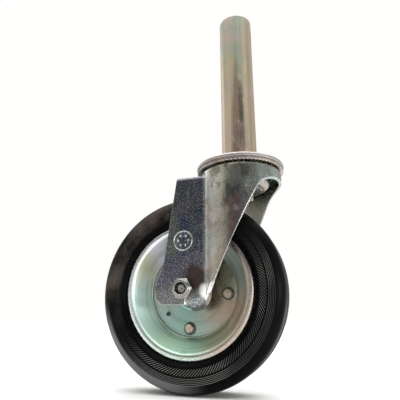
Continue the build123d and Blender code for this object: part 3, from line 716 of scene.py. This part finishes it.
def nylon_material():
    """Black nylon, dulled by grease."""
    s = Shader("cage_nylon")
    place = s.place()
    stain = blotches(s, place, 180.0, 0.45, 0.70, detail=4.0)
    colour = s.coat(NYLON_BLACK, stain, 0.6, NYLON_GREASE)
    rough = s.plus(0.30, s.times(stain, 0.25))
    normal = s.bump(s.noise(place, 500.0), 0.03 * MM, 0.4)
    return s.finish(Base_Color=colour, Roughness=rough, Normal=normal)


def polished_material():
    """Bearing steel with a film of grease."""
    s = Shader("bearing_steel")
    place = s.place()
    film = blotches(s, place, 240.0, 0.45, 0.65)
    colour = s.coat(STEEL_BRIGHT, film, 0.5, STEEL_GREASE)
    rough = s.plus(0.08, s.times(film, 0.18))
    normal = s.bump(s.noise(place, 1500.0), 0.01 * MM, 0.3)
    return s.finish(Base_Color=colour, Metallic=1.0, Roughness=rough, Normal=normal)


def weld_material():
    """Ground weld: heat-tinted and streaky."""
    s = Shader("weld_steel")
    place = s.place()
    colour = s.ramp(s.noise(place, 120.0), WELD_HEAT)
    ripple = s.noise(s.scaled(place, (1.0, 1.0, 3.0)), 500.0, 4.0)
    rough = s.plus(0.38, s.times(ripple, 0.2))
    normal = s.bump(ripple, 0.15 * MM, 0.7)
    return s.finish(Base_Color=colour, Metallic=1.0, Roughness=rough, Normal=normal)


def make_materials():
    """One material for each of the record's slots, and one for the rivets, under their node's name."""
    materials = {name: zinc_material(name, **finish) for name, finish in ZINC_FINISHES.items()}
    materials.update({
        "stem_steel": stem_material(),
        "fork_steel": fork_material(),
        "disc_zinc": disc_material(),
        "rim_rivets": rivet_material(),
        "bearing_steel": polished_material(),
        "weld_steel": weld_material(),
        "cage_nylon": nylon_material(),
        "tyre_rubber": rubber_material(),
    })
    return materials


def dress_frame(materials):
    """Gives every carried CAD node its own material, or its slot's."""
    for part in frame["record"]["subparts"]:
        node = NODES[part["node"]]
        material = materials.get(part["node"], materials[part["material_slot"]])
        if not node.material_slots:
            node.data.materials.append(material)
        for slot in node.material_slots:
            slot.material = material


# Tyre: its section in millimetres. BEAD and GROOVE are (radius, how far inside the tyre's half width), and
# FOOT, the part inside the rim, is (radius, half width). A point's kind says what cuts into it.

PLAIN, RIBBED, HATCHED = 0, 1, 2
SHOULDER = 14.0
BEAD = [
    (70.6, 3.2), (70.9, 2.6), (73.2, 2.0), (73.6, 0.9),
    (73.9, 0.15), (74.3, 0.0), (74.7, 0.2), (75.0, 0.55),
]
RIB_RADII = np.linspace(75.4, 82.0, 12)
RIB_INSET = 0.1
GROOVE = [(82.4, 0.6), (82.8, 0.1), (83.2, 0.0), (83.6, 0.15)]
RING_RADII = np.arange(84.0, 90.01, 0.25)
RING_DEPTH = 0.75
SHOULDER_TURNS = np.linspace(math.radians(68), 0, 14)
TREAD_STEPS = 24
FOOT = [(67.6, 17.4), (67.6, 16.3), (64.6, 16.0), (51.6, 3.9), (50.9, 2.6)]


def shoulder_half(r, half, outer):
    """Half width of the round shoulder at radius r."""
    rise = max(0.0, r - (outer - SHOULDER))
    return half - SHOULDER + math.sqrt(SHOULDER**2 - rise**2)


def tyre_side():
    """One side of the tyre from foot to tread edge, as (radius, half width, kind) in millimetres."""
    half = TYRE_HALF / MM
    outer = TYRE_R / MM
    points = [(r, w, PLAIN) for r, w in FOOT[::-1]]
    points += [(r, half - inset, PLAIN) for r, inset in BEAD]
    points += [(r, half - RIB_INSET, RIBBED) for r in RIB_RADII]
    points += [(r, half - inset, PLAIN) for r, inset in GROOVE]
    for r in RING_RADII:
        wave = 0.5 - 0.5 * math.cos(2 * math.pi * (r * MM - RING_START_R) / RING_PITCH)
        points.append((r, shoulder_half(r, half, outer) - RING_DEPTH * wave, PLAIN))
    for turn in SHOULDER_TURNS:
        r = outer - SHOULDER + SHOULDER * math.cos(turn)
        points.append((r, half - SHOULDER + SHOULDER * math.sin(turn), PLAIN))
    return points


def cut_wave(phase):
    """1 on a rib's flat top, 0 in the gap between ribs, with steep flanks."""
    return np.clip(0.5 + 0.9 * np.cos(phase), 0, 1)


def tyre_mesh():
    """Closed ring: ribbed and ringed sidewalls, smooth shoulders, finely hatched tread, foot in the rim."""
    side = tyre_side()
    edge = TYRE_HALF / MM - SHOULDER
    tread = [(TYRE_R / MM, -w, HATCHED) for w in np.linspace(edge, -edge, TREAD_STEPS)[1:-1]]
    loop = [(r, -w, kind) for r, w, kind in side] + tread + side[::-1]
    radius = np.array([p[0] for p in loop]) * MM
    across = np.array([p[1] for p in loop]) * MM
    kind = np.array([p[2] for p in loop])
    count = RIB_COUNT * STEPS_PER_RIB
    turn = np.linspace(0, 2 * np.pi, count, endpoint=False)[:, None]
    slant = RIB_SLANT * (radius - RIB_RING_R) / RIB_RING_R
    rib = cut_wave(RIB_COUNT * turn + RIB_COUNT * slant[None, :])
    hatch = cut_wave(RIB_COUNT * turn + across[None, :] / HATCH_RADIAN)
    sink = np.where(kind == RIBBED, RIB_DEPTH * (1 - rib), 0.0)
    down = np.where(kind == HATCHED, HATCH_DEPTH * (1 - hatch), 0.0)
    r = radius[None, :] - down
    y = across[None, :] - np.sign(across)[None, :] * sink
    x = AXLE.x + r * np.cos(turn)
    z = AXLE.z + r * np.sin(turn)
    verts = np.stack([x, y, z], -1).reshape(-1, 3)
    size = len(loop)
    here = np.arange(count)[:, None] * size
    there = np.roll(np.arange(count), -1)[:, None] * size
    a = np.arange(size)[None, :]
    b = np.roll(np.arange(size), -1)[None, :]
    faces = np.stack([here + a, here + b, there + b, there + a], -1).reshape(-1, 4)
    mesh = bpy.data.meshes.new("ribbed_tyre")
    mesh.from_pydata(verts.tolist(), [], faces.tolist())
    mesh.shade_smooth()
    mesh.update()
    return mesh


def add_tyre(materials):
    tyre = bpy.data.objects.new("ribbed_tyre", tyre_mesh())
    bpy.context.scene.collection.objects.link(tyre)
    tyre.data.materials.append(materials["tyre_rubber"])
    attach(tyre, "wheel")
    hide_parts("tyre")


# Floor, light and camera

FLOOR_SIZE = 12.0
FLOOR_GAP = 0.2 * MM
FLOOR_GREY = (0.90, 0.89, 0.88)
FLOOR_PALE = (0.93, 0.93, 0.92)
SIDE_LIGHT = (0.98, 1.0, 1.0)
ROOM_LOW = (0.50, 0.48, 0.45)
ROOM_HIGH = (1.05, 1.06, 1.05)
ROOM_CLOUD = (0.20, 0.20, 0.19)
BACKDROP = (1.0, 0.995, 0.985)
# Patches of the room's wall, hidden from the camera but mirrored in the metal: (turn from +X towards +Y,
# rise, half width and half height in degrees, soft share), how much each covers, and its colour
ROOM_PATCHES = [
    ((-76, 21, 42, 16, 0.35), 0.85, (0.07, 0.075, 0.09)),
    ((161, 8, 10, 34, 0.6), 1.0, (1.25, 1.3, 1.28)),
    ((-30, -1, 42, 10, 0.5), 1.0, (2.7, 2.9, 2.9)),
    ((34, 12, 16, 10, 0.6), 1.0, (1.15, 1.12, 1.0)),
]
CAMERA_TURN = 17.59
CAMERA_RISE = -17.65
CAMERA_AWAY = 438.3 * MM
CAMERA_AIM = Vector((-48.1 * MM, 0.0, -33.3 * MM))
CAMERA_LENS = 34.02
CAMERA_SENSOR = 36.0


def add_floor():
    bpy.ops.mesh.primitive_plane_add(size=FLOOR_SIZE, location=(AXLE.x, 0, TYRE_LOW.z - FLOOR_GAP))
    floor = bpy.context.object
    floor.name = "floor"
    s = Shader("pale_floor")
    tone = s.mix(s.noise(s.place(), 3.0), FLOOR_GREY, FLOOR_PALE)
    floor.data.materials.append(s.finish(Base_Color=tone, Roughness=0.9))


def add_lamp(data, place):
    lamp = bpy.data.objects.new(data.name, data)
    bpy.context.scene.collection.objects.link(lamp)
    lamp.location = place
    return lamp


def add_skylight(strength, spread):
    """Wide soft light straight from above."""
    data = bpy.data.lights.new("skylight", "SUN")
    data.energy = strength
    data.angle = math.radians(spread)
    add_lamp(data, (0.0, 0.0, 2.0))


def add_softbox(name, place, aim, width, height, power, spread):
    """Rectangular lamp that lights only what is near the line to its aim."""
    data = bpy.data.lights.new(name, "AREA")
    data.shape = "RECTANGLE"
    data.size = width
    data.size_y = height
    data.energy = power
    data.spread = math.radians(spread)
    data.color = SIDE_LIGHT
    lamp = add_lamp(data, place)
    lamp.rotation_euler = (aim - place).to_track_quat("-Z", "Y").to_euler()
    lamp.visible_camera = False


def patch(s, direction, turn, rise, half_width, half_height, soft):
    """1 inside an ellipse on the room's wall, fading to 0 over the soft share beyond it."""
    x, y, z = s.split(direction)
    across = s.minus(s.math("ARCTAN2", y, x), math.radians(turn))
    across = s.node("ShaderNodeMath", {0: across, 1: math.pi, 2: -math.pi}, operation="WRAP").outputs[0]
    across = s.math("DIVIDE", across, math.radians(half_width))
    up = s.minus(s.math("ARCSINE", z), math.radians(rise))
    up = s.math("DIVIDE", up, math.radians(half_height))
    squares = s.plus(s.times(across, across), s.times(up, up))
    return s.step(s.math("SQRT", squares), 1.0 + soft, 1.0)


def add_world():
    """Pale room: near white to the camera, and with one dark patch and three bright ones for the object."""
    world = bpy.data.worlds.new("studio")
    world.use_nodes = True
    bpy.context.scene.world = world
    s = Shader("studio", world.node_tree)
    direction = s.node("ShaderNodeTexCoord").outputs["Generated"]
    z = s.split(direction)[2]
    room = s.mix(s.step(z, 0.2, 0.8), ROOM_LOW, ROOM_HIGH)
    clouds = s.noise(s.scaled(direction, (1.0, 1.0, 0.6)), 3.0, 2.0)
    room = s.mix(s.step(clouds, 0.42, 0.64, 0.0, 0.35), room, ROOM_CLOUD)
    for area, amount, shade in ROOM_PATCHES:
        room = s.coat(room, patch(s, direction, *area), amount, shade)
    is_camera = s.node("ShaderNodeLightPath").outputs["Is Camera Ray"]
    colour = s.mix(is_camera, room, BACKDROP)
    background = s.node("ShaderNodeBackground", {"Color": colour, "Strength": 1.0})
    output = s.node("ShaderNodeOutputWorld")
    s.tree.links.new(background.outputs[0], output.inputs["Surface"])


def add_camera():
    """Low three-quarter view from the nut side, looking slightly up."""
    azimuth = math.radians(CAMERA_TURN)
    elevation = math.radians(CAMERA_RISE)
    back = Vector((math.sin(azimuth) * math.cos(elevation), -math.cos(azimuth) * math.cos(elevation),
                   math.sin(elevation)))
    data = bpy.data.cameras.new("camera")
    data.lens = CAMERA_LENS
    data.sensor_width = CAMERA_SENSOR
    data.clip_start = 0.01
    camera = bpy.data.objects.new("camera", data)
    bpy.context.scene.collection.objects.link(camera)
    camera.location = CAMERA_AIM + back * CAMERA_AWAY
    camera.rotation_euler = (-back).to_track_quat("-Z", "Y").to_euler()
    bpy.context.scene.camera = camera


add_camera()
bpy.context.scene.view_settings.view_transform = "Standard"
materials = make_materials()
dress_frame(materials)
add_tyre(materials)
add_floor()
add_world()
add_skylight(strength=2.8, spread=80.0)
add_softbox(
    "side", AXLE + Vector((0.95, -0.42, 0.04)), AXLE, width=0.30, height=0.16, power=0.10, spread=30.0
)
